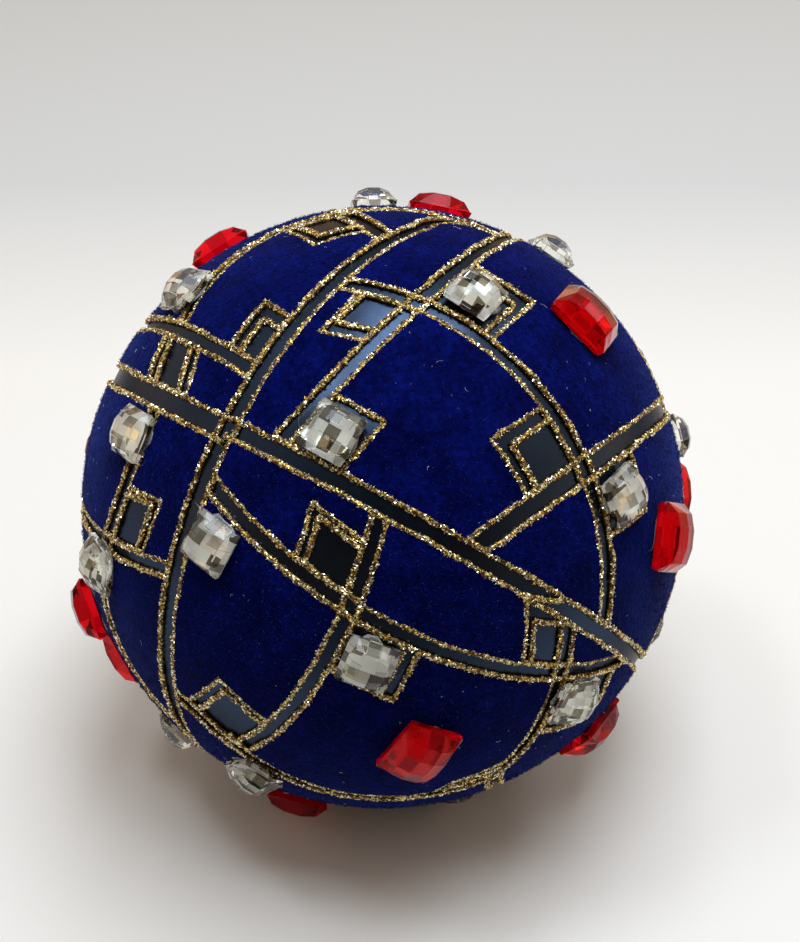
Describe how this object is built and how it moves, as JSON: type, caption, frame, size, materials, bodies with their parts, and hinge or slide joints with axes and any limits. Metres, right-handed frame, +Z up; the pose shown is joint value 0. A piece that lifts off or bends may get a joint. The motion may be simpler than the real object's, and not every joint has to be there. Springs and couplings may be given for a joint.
{
  "type": "velvet jeweled ornament ball",
  "caption": "Hard lacquered ball covered in blue velvet patches edged with gold glitter lines and set with clear square and red oblong cut stones, resting on a small flat spot",
  "frame": {"origin": "centre of the small flat spot that the ball rests on", "axes": "+Z up out of the flat spot, +X to the right and -Y towards the viewer in the picture's view from 35 degrees above level"},
  "size_m": [0.107, 0.1091, 0.1012],
  "materials": {
    "velvet": "royal blue short-pile velvet, mottled, with lighter fibre ends",
    "lacquer": "smooth dark blue-grey lacquer of the ball between the velvet patches",
    "glitter": "coarse gold glitter in a raised line of glue",
    "clear_stone": "clear cut square stone with a mirrored back",
    "red_stone": "ruby red cut oblong stone with a mirrored back",
    "glue": "clear set glue under the stones, with fine drawn hairs"
  },
  "bodies": {
    "root": {"ball": "velvet", "clear_stone_01": "clear_stone", "clear_stone_02": "clear_stone", "clear_stone_03": "clear_stone", "clear_stone_04": "clear_stone", "clear_stone_05": "clear_stone", "clear_stone_06": "clear_stone", "clear_stone_07": "clear_stone", "clear_stone_08": "clear_stone", "clear_stone_09": "clear_stone", "clear_stone_10": "clear_stone", "clear_stone_11": "clear_stone", "clear_stone_12": "clear_stone", "clear_stone_13": "clear_stone", "clear_stone_14": "clear_stone", "clear_stone_15": "clear_stone", "clear_stone_16": "clear_stone", "clear_stone_17": "clear_stone", "clear_stone_18": "clear_stone", "clear_stone_19": "clear_stone", "clear_stone_20": "clear_stone", "clear_stone_21": "clear_stone", "clear_stone_22": "clear_stone", "clear_stone_23": "clear_stone", "clear_stone_24": "clear_stone", "clear_stone_25": "clear_stone", "clear_stone_26": "clear_stone", "clear_stone_27": "clear_stone", "clear_stone_28": "clear_stone", "red_stone_01": "red_stone", "red_stone_02": "red_stone", "red_stone_03": "red_stone", "red_stone_04": "red_stone", "red_stone_05": "red_stone", "red_stone_06": "red_stone", "red_stone_07": "red_stone", "red_stone_08": "red_stone", "red_stone_09": "red_stone", "red_stone_10": "red_stone", "red_stone_11": "red_stone", "red_stone_12": "red_stone", "red_stone_13": "red_stone", "red_stone_14": "red_stone", "red_stone_15": "red_stone", "red_stone_16": "red_stone"}
  },
  "joints": []
}
